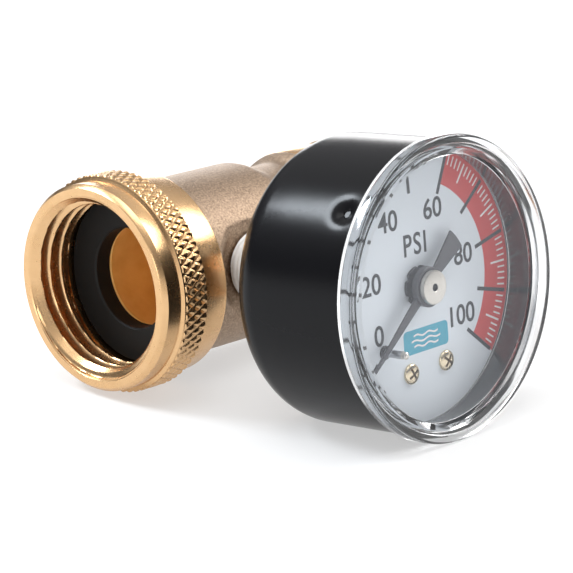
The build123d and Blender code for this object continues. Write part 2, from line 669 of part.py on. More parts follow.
with BuildPart() as movement_screws:
    front_face = FRONT_PLATE_START + PLATE + SEATED
    posts(PILLARS, BACK_PLATE_START + END_PLAY, front_face, SCREW_SHANK_R)
    posts(PILLARS, front_face, front_face + SCREW_HEAD, SCREW_HEAD_R)
finish(movement_screws, "movement_screws")

with BuildPart() as back_plate_screws:
    back_plate_face = BACK_PLATE_START + PLATE + SEATED
    posts(PLATE_SCREWS, PLATE_SCREW_START, back_plate_face, SCREW_SHANK_R)
    posts(PLATE_SCREWS, back_plate_face, back_plate_face + PLATE_SCREW_HEAD, PLATE_SCREW_HEAD_R)
finish(back_plate_screws, "back_plate_screws")

# --- gauge: dial and pointer ---

with BuildPart() as dial:
    with BuildSketch(dial_plane(DIAL_FRONT - DIAL_THICK)):
        Circle(DIAL_R)
        Circle(DIAL_HOLE_R, mode=Mode.SUBTRACT)
        with Locations(*DIAL_SCREWS):
            Circle(DIAL_SCREW_R + END_PLAY, mode=Mode.SUBTRACT)
        with Locations(clock(STOP_PIN_AT, STOP_PIN_CLOCK_DEG)):
            Circle(STOP_PIN_R, mode=Mode.SUBTRACT)
    extrude(amount=DIAL_THICK)
finish(dial, "dial")

with BuildPart() as dial_posts:
    posts(DIAL_SCREWS, BLOCK_END + SEATED / 2, DIAL_FRONT - DIAL_THICK - SEATED / 2, DIAL_POST_R)
    posts(DIAL_SCREWS, BLOCK_END, DIAL_FRONT, DIAL_SCREW_R + SHAFT_FIT, mode=Mode.SUBTRACT)
finish(dial_posts, "dial_posts")

with BuildPart() as dial_screws:
    posts(DIAL_SCREWS, DIAL_FRONT + SEATED / 2, DIAL_FRONT + DIAL_SCREW_HEAD, DIAL_SCREW_HEAD_R)
    chamfer(dial_screws.edges().group_by(Axis.Y)[0], DIAL_SCREW_EDGE)
    posts(DIAL_SCREWS, DIAL_SCREW_START, DIAL_FRONT + END_PLAY, DIAL_SCREW_R)
finish(dial_screws, "dial_screws")

with BuildPart() as dial_bushing:
    posts(((0, 0),), DIAL_FRONT + SEATED / 2, DIAL_FRONT + BUSHING_HEIGHT, BUSHING_R)
    posts(((0, 0),), BUSHING_BACK, DIAL_FRONT + END_PLAY, DIAL_HOLE_R - SEATED)
    posts(((0, 0),), BUSHING_BACK, DIAL_FRONT + BUSHING_HEIGHT, SHAFT_R + SHAFT_FIT, mode=Mode.SUBTRACT)
finish(dial_bushing, "dial_bushing")

with BuildPart() as stop_pin:
    stop_pin_place = clock(STOP_PIN_AT, STOP_PIN_CLOCK_DEG)
    posts((stop_pin_place,), STOP_PIN_START, STOP_PIN_END, STOP_PIN_R - SEATED / 2)
finish(stop_pin, "stop_pin")

with BuildPart() as pointer:
    a = radians(POINTER_CLOCK_DEG)
    needle = Plane(origin=(GAUGE_X, -POINTER_BACK, 0), x_dir=(cos(a), 0, -sin(a)), z_dir=(0, -1, 0))
    tail_drop = POINTER_TAIL_HALF ** 2 / (2 * POINTER_TAIL_AT)
    with BuildSketch(needle):
        with BuildLine():
            Polyline((-POINTER_TAIL_HALF, tail_drop - POINTER_TAIL_AT), (-POINTER_ROOT_HALF, 0),
                     (-POINTER_TIP_HALF, POINTER_TIP_AT), (POINTER_TIP_HALF, POINTER_TIP_AT),
                     (POINTER_ROOT_HALF, 0), (POINTER_TAIL_HALF, tail_drop - POINTER_TAIL_AT))
            ThreePointArc((POINTER_TAIL_HALF, tail_drop - POINTER_TAIL_AT), (0, -POINTER_TAIL_AT),
                          (-POINTER_TAIL_HALF, tail_drop - POINTER_TAIL_AT))
        make_face()
    extrude(amount=POINTER_THICK)
    posts(((0, 0),), POINTER_BOSS_START, POINTER_BOSS_END, POINTER_BOSS_R)
    posts(((0, 0),), POINTER_BOSS_START, POINTER_BOSS_END, SHAFT_R + SEATED / 2, mode=Mode.SUBTRACT)
finish(pointer, "pointer")

with BuildPart() as pointer_cap:
    posts(((0, 0),), POINTER_BOSS_END + SEATED, CAP_FRONT, CAP_R)
    chamfer(pointer_cap.edges().group_by(Axis.Y)[0], CAP_EDGE)
    posts(((0, 0),), POINTER_BACK, CAP_FRONT - CAP_WALL, SHAFT_R + SEATED / 2, mode=Mode.SUBTRACT)
finish(pointer_cap, "pointer_cap")
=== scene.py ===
from math import cos, exp, hypot, pi, radians, sin, tan

import bmesh
import bpy
from mathutils import Euler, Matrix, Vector


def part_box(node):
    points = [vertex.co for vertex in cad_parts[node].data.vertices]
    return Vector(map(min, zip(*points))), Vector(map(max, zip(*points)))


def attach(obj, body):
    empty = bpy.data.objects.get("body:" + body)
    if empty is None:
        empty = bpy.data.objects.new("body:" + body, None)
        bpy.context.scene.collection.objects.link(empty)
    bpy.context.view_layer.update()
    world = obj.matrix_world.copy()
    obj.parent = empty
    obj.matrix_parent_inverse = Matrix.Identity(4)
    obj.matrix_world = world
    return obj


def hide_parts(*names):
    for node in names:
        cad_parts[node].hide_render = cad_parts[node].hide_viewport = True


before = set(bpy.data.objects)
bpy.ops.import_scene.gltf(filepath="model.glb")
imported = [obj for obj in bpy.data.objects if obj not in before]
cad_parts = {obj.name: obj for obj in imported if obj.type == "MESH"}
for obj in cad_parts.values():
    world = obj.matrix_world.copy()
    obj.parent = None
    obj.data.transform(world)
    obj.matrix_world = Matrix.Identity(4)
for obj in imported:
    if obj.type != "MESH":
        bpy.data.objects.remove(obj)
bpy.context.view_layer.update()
scene = bpy.context.scene

# Lengths below are millimetres in the row frame; meshes are scaled to metres when they are made.
# The flow axis is X. The gauge's axis is -Y at GAUGE_X, and depth is measured along it from the flow axis.
MM = 0.001


def node_box(node):
    """A CAD node's lowest and highest corners in millimetres."""
    low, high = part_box(node)
    return [value / MM for value in low], [value / MM for value in high]


nut_low, nut_high = node_box("swivel_nut")
body_low, body_high = node_box("body")
case_low, case_high = node_box("gauge_case")
lens_low, lens_high = node_box("lens")
dial_low, dial_high = node_box("dial")

MOUTH_X = nut_low[0]
GAUGE_X = (case_low[0] + case_high[0]) / 2
CASE_BACK = -case_high[1]
CASE_FRONT = -case_low[1]
CASE_R = case_high[2]
LENS_R = lens_high[2]
LENS_FRONT = -lens_low[1]
DIAL_FRONT = -dial_low[1]


# --- meshes -----------------------------------------------------------------------------------

def on_flow(along, radius, angle):
    """Point at a distance along the flow axis, a radius and an angle from the top."""
    return (along, radius * sin(angle), radius * cos(angle))


def on_gauge(depth, radius, angle):
    """Point at a depth, a radius and a clockwise angle from the top of the dial."""
    return (GAUGE_X + radius * sin(angle), -depth, radius * cos(angle))


def on_dial(u, w, depth):
    """Point of the dial from its local right and up coordinates."""
    return (GAUGE_X + u, -depth, w)


def new_object(name, points, faces, smooth_angle=35.0):
    """Object from points in millimetres, shaded smooth up to an angle."""
    mesh = bpy.data.meshes.new(name)
    mesh.from_pydata([Vector(p) * MM for p in points], [], faces)
    work = bmesh.new()
    work.from_mesh(mesh)
    bmesh.ops.remove_doubles(work, verts=work.verts, dist=1e-7)
    bmesh.ops.recalc_face_normals(work, faces=work.faces)
    work.to_mesh(mesh)
    work.free()
    mesh.shade_smooth()
    mesh.set_sharp_from_angle(angle=radians(smooth_angle))
    obj = bpy.data.objects.new(name, mesh)
    scene.collection.objects.link(obj)
    return obj


def densify(corners, step, closed=True):
    """Corners of an outline with points added so that no run is longer than a step."""
    points = []
    count = len(corners)
    for i in range(count if closed else count - 1):
        (a0, r0), (a1, r1) = corners[i], corners[(i + 1) % count]
        runs = max(1, round(hypot(a1 - a0, r1 - r0) / step))
        points += [(a0 + (a1 - a0) * k / runs, r0 + (r1 - r0) * k / runs) for k in range(runs)]
    if not closed:
        points.append(corners[-1])
    return points


def lathe(name, outline, segments, place, shape=None, closed=True, smooth_angle=35.0):
    """Surface of revolution. shape(along, radius, angle) may change a point's along and radius."""
    points = []
    for along, radius in outline:
        for k in range(segments):
            angle = 2 * pi * k / segments
            a, r = shape(along, radius, angle) if shape else (along, radius)
            points.append(place(a, max(r, 0.0), angle))
    faces = []
    rows = len(outline)
    for i in range(rows if closed else rows - 1):
        j = (i + 1) % rows
        for k in range(segments):
            n = (k + 1) % segments
            faces.append((i * segments + k, i * segments + n, j * segments + n, j * segments + k))
    return new_object(name, points, faces, smooth_angle)


def arc_points(centre, radius, start, end, count):
    """Points of an arc in the outline plane, angles in degrees."""
    steps = [radians(start + (end - start) * k / count) for k in range(count + 1)]
    return [(centre[0] + radius * cos(a), centre[1] + radius * sin(a)) for a in steps]


def plate(name, outline, back, front):
    """Flat plate on the dial between two depths, from an outline of (u, w) points."""
    count = len(outline)
    points = [on_dial(u, w, depth) for depth in (back, front) for u, w in outline]
    faces = [tuple(range(count)), tuple(range(2 * count - 1, count - 1, -1))]
    faces += [(k, (k + 1) % count, count + (k + 1) % count, count + k) for k in range(count)]
    return new_object(name, points, faces)


def join(name, objects):
    """One object from several."""
    work = bmesh.new()
    for obj in objects:
        work.from_mesh(obj.data)
    mesh = bpy.data.meshes.new(name)
    work.to_mesh(mesh)
    work.free()
    mesh.shade_smooth()
    mesh.set_sharp_from_angle(angle=radians(35))
    for obj in objects:
        bpy.data.objects.remove(obj)
    joined = bpy.data.objects.new(name, mesh)
    scene.collection.objects.link(joined)
    return joined


def cut(obj, cutter):
    """Cut one object by another and drop the cutter."""
    modifier = obj.modifiers.new("cut", "BOOLEAN")
    modifier.operation = "DIFFERENCE"
    modifier.solver = "EXACT"
    modifier.object = cutter
    bpy.context.view_layer.update()
    graph = bpy.context.evaluated_depsgraph_get()
    mesh = bpy.data.meshes.new_from_object(obj.evaluated_get(graph))
    obj.modifiers.clear()
    old = obj.data
    obj.data = mesh
    bpy.data.meshes.remove(old)
    bpy.data.objects.remove(cutter)
    mesh.set_sharp_from_angle(angle=radians(35))


def clock(radius, degrees_clockwise):
    """Dial place (u, w) at a radius and an angle clockwise from the top."""
    a = radians(degrees_clockwise)
    return (radius * sin(a), radius * cos(a))


# --- materials --------------------------------------------------------------------------------

def material(name, colour, metallic=0.0, roughness=0.5, **sockets):
    """Principled material; returns it with its node tree and shader."""
    mat = bpy.data.materials.new(name)
    mat.use_nodes = True
    tree = mat.node_tree
    shader = tree.nodes["Principled BSDF"]
    shader.inputs["Base Color"].default_value = (*colour, 1.0)
    shader.inputs["Metallic"].default_value = metallic
    shader.inputs["Roughness"].default_value = roughness
    for socket, value in sockets.items():
        shader.inputs[socket.replace("_", " ")].default_value = value
    return mat, tree, shader


def link(tree, source, target):
    tree.links.new(source, target)


def math_node(tree, operation, first, second=None):
    node = tree.nodes.new("ShaderNodeMath")
    node.operation = operation
    for socket, value in zip(node.inputs, (first, second)):
        if value is None:
            continue
        if isinstance(value, (int, float)):
            socket.default_value = value
        else:
            link(tree, value, socket)
    return node.outputs[0]


def coordinates(tree, offset=(0.0, 0.0, 0.0)):
    """Object coordinates in millimetres, moved by an offset."""
    source = tree.nodes.new("ShaderNodeTexCoord")
    mapping = tree.nodes.new("ShaderNodeMapping")
    mapping.inputs["Location"].default_value = offset
    mapping.inputs["Scale"].default_value = (1 / MM, 1 / MM, 1 / MM)
    link(tree, source.outputs["Object"], mapping.inputs["Vector"])
    return mapping.outputs["Vector"]


def round_coordinates(tree, axis, along, across, around):
    """Coordinates of a turned surface: along the axis, by radius, and slowly around it."""
    source = coordinates(tree, offset=(-GAUGE_X if axis == "Y" else 0.0, 0.0, 0.0))
    split = tree.nodes.new("ShaderNodeSeparateXYZ")
    link(tree, source, split.inputs[0])
    main, other = (("Y", "X") if axis == "Y" else ("X", "Y"))
    square_a = math_node(tree, "POWER", split.outputs[other], 2.0)
    square_b = math_node(tree, "POWER", split.outputs["Z"], 2.0)
    radius = math_node(tree, "SQRT", math_node(tree, "ADD", square_a, square_b))
    angle = math_node(tree, "ARCTAN2", split.outputs[other], split.outputs["Z"])
    merge = tree.nodes.new("ShaderNodeCombineXYZ")
    link(tree, math_node(tree, "MULTIPLY", split.outputs[main], along), merge.inputs[0])
    link(tree, math_node(tree, "MULTIPLY", radius, across), merge.inputs[1])
    link(tree, math_node(tree, "MULTIPLY", angle, around), merge.inputs[2])
    return merge.outputs[0]


def noise(tree, vector, scale, detail=3.0, roughness=0.5):
    node = tree.nodes.new("ShaderNodeTexNoise")
    node.inputs["Scale"].default_value = scale
    node.inputs["Detail"].default_value = detail
    node.inputs["Roughness"].default_value = roughness
    link(tree, vector, node.inputs["Vector"])
    return node.outputs["Fac"]


def ramp(tree, source, stops):
    """Colour ramp from (position, colour) stops."""
    node = tree.nodes.new("ShaderNodeValToRGB")
    elements = node.color_ramp.elements
    elements[0].position, elements[0].color = stops[0][0], (*stops[0][1], 1.0)
    elements[1].position, elements[1].color = stops[-1][0], (*stops[-1][1], 1.0)
    for position, colour in stops[1:-1]:
        elements.new(position).color = (*colour, 1.0)
    link(tree, source, node.inputs[0])
    return node.outputs["Color"]


def spread(tree, source, low, high):
    """Map the usual range of a noise value to a range."""
    node = tree.nodes.new("ShaderNodeMapRange")
    node.inputs["From Min"].default_value = 0.3
    node.inputs["From Max"].default_value = 0.7
    node.inputs["To Min"].default_value = low
    node.inputs["To Max"].default_value = high
    link(tree, source, node.inputs["Value"])
    return node.outputs["Result"]


def bump(tree, shader, height, strength, distance_mm):
    node = tree.nodes.new("ShaderNodeBump")
    node.inputs["Strength"].default_value = strength
    node.inputs["Distance"].default_value = distance_mm * MM
    link(tree, height, node.inputs["Height"])
    link(tree, node.outputs["Normal"], shader.inputs["Normal"])


def turned_brass(name, axis="X", bright=(0.74, 0.475, 0.25), dark=(0.70, 0.44, 0.22), rough=0.26,
                 metallic=1.0):
    """Machined brass with fine tool lines round an axis and faint tarnish."""
    mat, tree, shader = material(name, bright, metallic=metallic, roughness=rough)
    lines = noise(tree, round_coordinates(tree, axis, 5.0, 5.0, 0.15), 1.0, 4.0, 0.6)
    clouds = noise(tree, coordinates(tree), 0.35, 4.0, 0.6)
    link(tree, ramp(tree, clouds, [(0.35, dark), (0.65, bright)]), shader.inputs["Base Color"])
    link(tree, spread(tree, clouds, rough + 0.03, rough - 0.02), shader.inputs["Roughness"])
    bump(tree, shader, lines, 0.5, 0.022)
    return mat


def cast_brass(name):
    """Sand-blasted casting: pinkish, matt, with a fine sparkling grain."""
    mat, tree, shader = material(name, (0.40, 0.29, 0.21), metallic=1.0, roughness=0.42)
    grain = noise(tree, coordinates(tree), 3.2, 4.0, 0.7)
    colour = ramp(tree, grain, [(0.34, (0.22, 0.155, 0.105)), (0.5, (0.355, 0.255, 0.18)),
                                (0.68, (0.56, 0.42, 0.30))])
    link(tree, colour, shader.inputs["Base Color"])
    link(tree, spread(tree, grain, 0.36, 0.52), shader.inputs["Roughness"])
    bump(tree, shader, grain, 0.9, 0.10)
    return mat


def black_paint(name):
    """Gloss black paint with a slight orange peel."""
    mat, tree, shader = material(name, (0.006, 0.006, 0.007), roughness=0.2, Specular_IOR_Level=0.13)
    peel = noise(tree, coordinates(tree), 1.6, 2.0, 0.5)
    dust = noise(tree, coordinates(tree), 12.0, 2.0, 0.6)
    link(tree, spread(tree, dust, 0.17, 0.24), shader.inputs["Roughness"])
    bump(tree, shader, peel, 0.12, 0.05)
    return mat


def rubber(name):
    mat, tree, shader = material(name, (0.005, 0.005, 0.005), roughness=0.6, Specular_IOR_Level=0.3)
    grain = noise(tree, coordinates(tree), 4.0, 4.0, 0.7)
    colour = ramp(tree, grain, [(0.35, (0.003, 0.003, 0.003)), (0.75, (0.014, 0.013, 0.012))])
    link(tree, colour, shader.inputs["Base Color"])
    link(tree, spread(tree, grain, 0.5, 0.75), shader.inputs["Roughness"])
    bump(tree, shader, grain, 0.3, 0.05)
    return mat


def satin(name, colour, roughness=0.45, metallic=0.0, grain_scale=6.0, depth=0.015, vary=0.04):
    """Plain part with a fine grain and a little variation in colour."""
    mat, tree, shader = material(name, colour, metallic=metallic, roughness=roughness)
    grain = noise(tree, coordinates(tree), grain_scale, 3.0, 0.6)
    low = tuple(max(0.0, c * (1 - vary)) for c in colour)
    high = tuple(min(1.0, c * (1 + vary)) for c in colour)
    link(tree, ramp(tree, grain, [(0.3, low), (0.7, high)]), shader.inputs["Base Color"])
    link(tree, spread(tree, grain, roughness - 0.05, roughness + 0.06), shader.inputs["Roughness"])
    bump(tree, shader, grain, 0.3, depth)
    return mat


def clear_rim(name):
    """Clear moulded polycarbonate, seen edge on."""
    mat, tree, shader = material(name, (0.89, 0.90, 0.91), roughness=0.1, IOR=1.5,
                                 Transmission_Weight=1.0)
    flow = noise(tree, coordinates(tree), 0.25, 2.0, 0.5)
    link(tree, spread(tree, flow, 0.08, 0.13), shader.inputs["Roughness"])
    bump(tree, shader, flow, 0.1, 0.05)
    return mat


def clear_window(name):
    """The lens's thin flat window: nearly clear with a faint milky veil and gloss."""
    mat, tree, shader = material(name, (0.80, 0.84, 0.90), roughness=0.04, Alpha=0.06)
    haze = noise(tree, coordinates(tree), 0.12, 2.0, 0.5)
    link(tree, spread(tree, haze, 0.03, 0.07), shader.inputs["Roughness"])
    bump(tree, shader, haze, 0.03, 0.05)
    return mat


MAT = {
    "nut": turned_brass("nut_brass"),
    "body": cast_brass("blasted_brass"),
    # Bore brass: brass colour painted brighter and more orange than the nut's and made partly diffuse, a
    # painted glow of light bouncing inside the bore.
    "bore": turned_brass("bore_brass_painted_glow", bright=(1.00, 0.60, 0.18), dark=(0.92, 0.52, 0.14), rough=0.42,
                         metallic=0.3),
    "machined": turned_brass("machined_brass"),
    "gauge_brass": turned_brass("gauge_brass", axis="Y", rough=0.3),
    "bronze": turned_brass("bronze", axis="Y", bright=(0.72, 0.46, 0.27), dark=(0.60, 0.36, 0.2), rough=0.35),
    "steel": satin("drawn_steel", (0.55, 0.55, 0.57), 0.3, 1.0, 5.0, 0.02, 0.08),
    "nickel": satin("satin_nickel", (0.64, 0.61, 0.56), 0.3, 1.0, 7.0, 0.01, 0.05),
    "screw": satin("screw_brass", (0.80, 0.68, 0.48), 0.2, 1.0, 5.0, 0.01, 0.08),
    # Dark paint for the screws' cross recesses: painted shade inside the recess.
    "recess": satin("painted_recess_shade", (0.13, 0.085, 0.045), 0.45, 0.6, 5.0, 0.01, 0.1),
    "case": black_paint("black_paint"),
    "rubber": rubber("washer_rubber"),
    "tape": satin("sealing_tape", (0.86, 0.85, 0.83), 0.5, 0.0, 3.0, 0.04, 0.03),
    "dial": satin("dial_paint", (0.74, 0.79, 0.84), 0.4, 0.0, 3.0, 0.004, 0.015),
    "ink": satin("dial_ink", (0.030, 0.032, 0.040), 0.5, 0.0, 6.0, 0.004, 0.15),
    "red": satin("dial_red", (0.62, 0.055, 0.05), 0.45, 0.0, 4.0, 0.004, 0.06),
    "white_ink": satin("dial_white_ink", (0.85, 0.80, 0.79), 0.45, 0.0, 4.0, 0.004, 0.03),
    "teal": satin("mark_teal", (0.055, 0.38, 0.52), 0.4, 0.0, 4.0, 0.004, 0.05),
    "pointer": satin("pointer_black", (0.065, 0.065, 0.075), 0.38, 0.0, 5.0, 0.01, 0.12),
    # Near-black for the notched bushing and the stop pin's collar, and painted shade in the hub cap's centre
    # hole.
    "dark": satin("dark_bushing", (0.035, 0.035, 0.042), 0.45, 0.0, 5.0, 0.02, 0.12),
    "rim": clear_rim("clear_rim"),
    "window": clear_window("clear_window"),
}

CAD_LOOKS = {
    # The inner parts take the bore brass with its painted glow of bounced light.
    "bore": ["seat_carrier", "piston", "outlet_retainer"],
    "gauge_brass": ["gauge_socket", "movement_back_plate", "movement_front_plate", "plate_pillars",
                    "dial_posts", "tube_tip", "link", "sector_gear"],
    "bronze": ["bourdon_tube", "hairspring"],
    "steel": ["swivel_snap_ring", "regulator_spring", "case_screws", "movement_screws",
              "back_plate_screws", "pinion_shaft"],
    "rubber": ["inlet_washer", "seat_disc", "stem_oring", "head_oring"],
    "dial": ["dial"],
}
for look, nodes in CAD_LOOKS.items():
    for node in nodes:
        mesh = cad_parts[node].data
        mesh.materials.clear()
        mesh.materials.append(MAT[look])


def finish_piece(obj, look, body, slot, *nodes):
    """Material, body and replaced CAD nodes of a new piece. The slot argument is not used."""
    if look:
        obj.data.materials.clear()
        obj.data.materials.append(MAT[look])
    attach(obj, body)
    if nodes:
        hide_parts(*nodes)
    return obj


# --- hose nut ---------------------------------------------------------------------------------

PITCH = 25.4 / 11.5
THREAD_HEIGHT = 1.4
CREST_HALF = 0.15
FLANK = (PITCH - 4 * CREST_HALF) / 2


def thread_depth(along, angle):
    """Height of a right-hand thread with soft flanks, 0 at the root and THREAD_HEIGHT at the crest."""
    turn = (along / PITCH - angle / (2 * pi)) % 1.0
    from_crest = abs(turn - 0.5) * PITCH
    rise = 1.0 - min(max((from_crest - CREST_HALF) / FLANK, 0.0), 1.0)
    return THREAD_HEIGHT * rise * rise * (3.0 - 2.0 * rise)


NUT_FRONT_R = 15.5
NUT_KNURL_R = nut_high[2]
NUT_REAR_R = 15.2
KNURL_START = MOUTH_X + 3.3
KNURL_END = MOUTH_X + 8.0
NUT_END = nut_high[0]
THREAD_ROOT_R = 13.6
MOUTH_R = 13.7
THREAD_END = MOUTH_X + 7.2
RECESS_END = MOUTH_X + 11.25
RECESS_R = 13.0
LAND_R = 11.98
KNURL_COUNT = 72
KNURL_ANGLE = radians(30)
KNURL_DEPTH = 0.26
KNURL_FLAT = 0.42


def knurl_depth(along, angle):
    """Depth of two crossed sets of V grooves."""
    lean = KNURL_COUNT * tan(KNURL_ANGLE) / NUT_KNURL_R * along
    first = abs(((KNURL_COUNT * angle + lean) / (2 * pi)) % 1.0 - 0.5) * 2
    second = abs(((KNURL_COUNT * angle - lean) / (2 * pi)) % 1.0 - 0.5) * 2
    steep = max(0.0, (second - KNURL_FLAT) / (1.0 - KNURL_FLAT))
    shallow = max(0.0, (first - KNURL_FLAT) / (1.0 - KNURL_FLAT))
    return KNURL_DEPTH * max(steep, 0.8 * shallow)


def nut_shape(along, radius, angle):
    """Knurl on the band and the female hose thread inside."""
    if radius > NUT_KNURL_R - 0.02 and KNURL_START < along < KNURL_END:
        return along, radius - knurl_depth(along, angle)
    if abs(radius - THREAD_ROOT_R) < 0.01 and along <= THREAD_END:
        crest = radius - thread_depth(along, angle)
        lead_in = MOUTH_R - (along - MOUTH_X) * 0.9
        run_out = THREAD_ROOT_R - THREAD_HEIGHT * min(1.0, (THREAD_END - along) / 0.3)
        return along, max(crest, min(lead_in, THREAD_ROOT_R), run_out)
    return along, radius


def make_nut():
    edge = 0.35
    outline = [(MOUTH_X + 0.1, MOUTH_R + 0.02), (MOUTH_X, MOUTH_R + 0.15)]
    outline += [(MOUTH_X, NUT_FRONT_R - 0.6), (MOUTH_X + 0.08, NUT_FRONT_R - 0.5),
                (MOUTH_X + 0.6, NUT_FRONT_R - 0.08), (MOUTH_X + 0.75, NUT_FRONT_R)]
    outline += [(KNURL_START - 0.25, NUT_FRONT_R), (KNURL_START - 0.1, NUT_FRONT_R + 0.05),
                (KNURL_START, NUT_FRONT_R + 0.25), (KNURL_START + 0.15, NUT_KNURL_R - 0.25),
                (KNURL_START + 0.35, NUT_KNURL_R - 0.2)]
    outline += densify([(KNURL_START + 0.45, NUT_KNURL_R), (KNURL_END - 0.3, NUT_KNURL_R)], 0.13, False)
    outline += [(KNURL_END - 0.2, NUT_KNURL_R - 0.25), (KNURL_END - 0.02, NUT_KNURL_R - 0.5),
                (KNURL_END, NUT_REAR_R + 0.1), (KNURL_END + 0.15, NUT_REAR_R)]
    outline += arc_points((NUT_END - edge, NUT_REAR_R - edge), edge, 90, 0, 3)
    outline += [(NUT_END, LAND_R + 0.2), (NUT_END - 0.2, LAND_R), (RECESS_END, LAND_R),
                (RECESS_END, RECESS_R), (THREAD_END + 0.1, RECESS_R)]
    outline += densify([(THREAD_END, THREAD_ROOT_R), (MOUTH_X + 0.1, THREAD_ROOT_R)], 0.09, False)
    nut = lathe("hose_nut", outline, 720, on_flow, nut_shape, smooth_angle=24)
    finish_piece(nut, "nut", "nut", "machined_brass", "swivel_nut")


make_nut()


# --- body -------------------------------------------------------------------------------------

BODY_R = body_high[2]
NECK_R = 11.85
COLLAR_R = 13.2
OUTLET_R = 13.4
OUTLET_HEIGHT = 1.3
OUTLET_ROOT = OUTLET_R - OUTLET_HEIGHT
OUTLET_START = MOUTH_X + 51.4
OUTLET_END = MOUTH_X + 59.4
FLAT_DEPTH = 11.4
FLAT_R = 6.6
FLAT_EDGE_R = 9.0


def body_shape(along, radius, angle):
    """Male hose thread on the outlet, a soft flat round the port and a slight unevenness of the casting."""
    depth = -radius * sin(angle)
    from_port = hypot(along - GAUGE_X, radius * cos(angle))
    if radius > 11.0 and depth > FLAT_DEPTH and from_port < FLAT_EDGE_R:
        t = min(max((from_port - FLAT_R) / (FLAT_EDGE_R - FLAT_R), 0.0), 1.0)
        keep = t * t * (3 - 2 * t)
        wanted = FLAT_DEPTH + (depth - FLAT_DEPTH) * keep
        return along, radius * wanted / depth
    if abs(radius - OUTLET_R) < 0.01 and OUTLET_START <= along <= OUTLET_END:
        fade = min(1.0, (along - OUTLET_START) / 0.6, (OUTLET_END - along) / 0.9)
        crest = OUTLET_ROOT + thread_depth(along, angle) * OUTLET_HEIGHT / THREAD_HEIGHT
        return along, OUTLET_ROOT + (crest - OUTLET_ROOT) * max(fade, 0.0)
    if radius > NECK_R - 0.05 and MOUTH_X + 13.6 < along < MOUTH_X + 43.0:
        wave = sin(3 * angle + 0.25 * along) + 0.6 * sin(5 * angle - 0.4 * along + 1.0)
        return along, radius - 0.02 * (1.0 + 0.6 * wave)
    return along, radius


def smooth_step(start, end, count):
    """Soft S-shaped run between two (along, radius) points."""
    points = []
    for k in range(count + 1):
        t = k / count
        blend = t * t * (3 - 2 * t)
        points.append((start[0] + (end[0] - start[0]) * t, start[1] + (end[1] - start[1]) * blend))
    return points


def make_body():
    x = MOUTH_X
    outline = [(x + 11.0, 7.9), (x + 11.0, 11.7), (x + 11.2, 11.9), (x + 11.575, 11.9), (x + 11.575, 11.45),
               (x + 12.625, 11.45), (x + 12.625, 11.9), (x + 13.3, 11.9), (x + 13.3, BODY_R - 0.3),
               (x + 13.45, BODY_R - 0.08)]
    outline += densify([(x + 13.7, BODY_R), (x + 30.5, BODY_R)], 0.3, False)
    outline += smooth_step((x + 30.6, BODY_R), (x + 35.2, NECK_R), 16)
    outline += densify([(x + 35.4, NECK_R), (x + 39.6, NECK_R)], 1.0, False)
    outline += smooth_step((x + 39.7, NECK_R), (x + 43.2, COLLAR_R - 0.08), 10)
    outline += [(x + 43.4, COLLAR_R), (x + 50.4, COLLAR_R), (x + 50.6, COLLAR_R - 0.25),
                (x + 50.9, OUTLET_ROOT + 0.1), (x + 51.3, OUTLET_ROOT + 0.02)]
    outline += densify([(OUTLET_START, OUTLET_R), (OUTLET_END, OUTLET_R)], 0.16, False)
    outline += [(x + 59.5, 12.1), (x + 61.3, 12.1), (x + 61.65, 11.95), (x + 61.8, 11.6),
                (x + 61.8, 10.9), (x + 61.55, 10.6), (x + 50.2, 10.6), (x + 46.0, 10.6), (x + 46.0, 8.4),
                (x + 33.5, 8.4), (x + 33.5, 4.75), (x + 28.0, 4.75), (x + 28.0, 7.7)]
    outline += densify([(x + 27.9, 7.7), (x + 11.2, 7.7)], 2.0, False)
    body = lathe("regulator_body", outline, 288, on_flow, body_shape)
    port_outline = [(8.6, 0.0), (8.6, 4.6), (12.5, 4.6), (12.5, 0.0)]
    port = lathe("port_cutter", port_outline, 64, on_gauge, closed=False)
    cut(body, port)
    mesh = body.data
    mesh.materials.clear()
    for look in ("body", "machined", "bore"):
        mesh.materials.append(MAT[look])
    for face in mesh.polygons:
        c = face.center / MM
        radius = hypot(c.y, c.z)
        # Faces inside the passage take the bore brass, painted brighter as a glow of bounced light.
        if radius < 11.0:
            face.material_index = 2
        elif c.x > x + 43.0 or c.x < x + 13.4:
            face.material_index = 1
    finish_piece(body, None, "housing", "cast_brass", "body")


make_body()


# --- gauge case, stem and lens ----------------------------------------------------------------

DIMPLE_DEPTH = 45.6
DIMPLE_CLOCK = (-49.3, 70.7, 190.7)
CASE_WALL = 0.8


def case_shape(depth, radius, angle):
    """Three punched dimples with a small hole that hold the lens's skirt."""
    if depth < DIMPLE_DEPTH - 4 or radius < CASE_R - 0.4:
        return depth, radius
    dent = 0.0
    for place in DIMPLE_CLOCK:
        around = (angle - radians(place) + pi) % (2 * pi) - pi
        distance = hypot(depth - DIMPLE_DEPTH, CASE_R * around)
        dent += 0.75 * exp(-(distance / 1.5) ** 2)
        if distance < 0.5:
            dent += 0.5
    return depth, radius - dent


